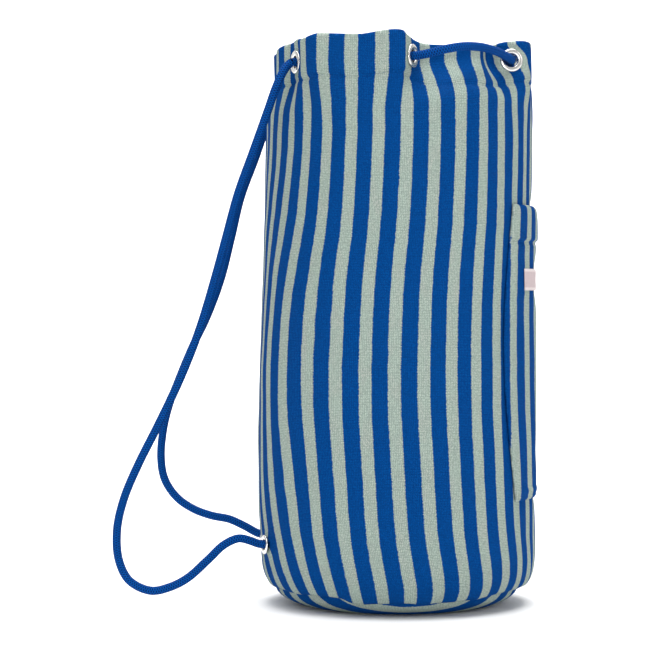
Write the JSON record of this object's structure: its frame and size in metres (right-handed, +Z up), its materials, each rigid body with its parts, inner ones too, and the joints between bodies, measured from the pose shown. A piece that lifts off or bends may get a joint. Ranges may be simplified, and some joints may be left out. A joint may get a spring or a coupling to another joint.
{
  "type": "drawstring barrel bag",
  "caption": "Cylindrical striped terry-cloth drawstring bag with a round base, patch pocket, metal eyelets and a cord that forms two shoulder straps.",
  "frame": {"origin": "middle of the base's underside", "axes": "+Z up, +X towards the front with the pocket, -X towards the back where the straps hang; +Y is the wearer's right"},
  "size_m": [0.3049, 0.1934, 0.402],
  "materials": {
    "terry_stripe": "cobalt blue and grey-green striped cotton terry, matt with a soft sheen",
    "cord_blue": "braided cobalt blue cotton cord",
    "eyelet_nickel": "polished nickel",
    "label_pink": "pale pink woven ribbon"
  },
  "bodies": {
    "bag": {"outer_wall": "terry_stripe", "base_panel": "terry_stripe", "front_pocket": "terry_stripe", "blank_label": "label_pink", "drawcord_neck": "cord_blue", "cord_knot_left": "cord_blue", "cord_knot_right": "cord_blue", "neck_eyelet_1": "eyelet_nickel", "neck_eyelet_2": "eyelet_nickel", "neck_eyelet_3": "eyelet_nickel", "neck_eyelet_4": "eyelet_nickel", "neck_eyelet_5": "eyelet_nickel", "neck_eyelet_6": "eyelet_nickel", "neck_washer_1": "eyelet_nickel", "neck_washer_2": "eyelet_nickel", "neck_washer_3": "eyelet_nickel", "neck_washer_4": "eyelet_nickel", "neck_washer_5": "eyelet_nickel", "neck_washer_6": "eyelet_nickel", "base_eyelet_left": "eyelet_nickel", "base_eyelet_right": "eyelet_nickel", "base_washer_left": "eyelet_nickel", "base_washer_right": "eyelet_nickel"},
    "strap_left": {"strap_cord_left": "cord_blue"},
    "strap_right": {"strap_cord_right": "cord_blue"}
  },
  "joints": [
    {"name": "strap_left_swing", "type": "hinge", "parent": "bag", "child": "strap_left", "pos_m": [-0.0806, -0.0456, 0.3848], "axis": [0.0622, -0.0386, 0.9973], "range_deg": [-20, 60]},
    {"name": "strap_right_swing", "type": "hinge", "parent": "bag", "child": "strap_right", "pos_m": [-0.0806, 0.0456, 0.3848], "axis": [-0.0623, -0.0387, -0.9973], "range_deg": [-20, 60]}
  ]
}
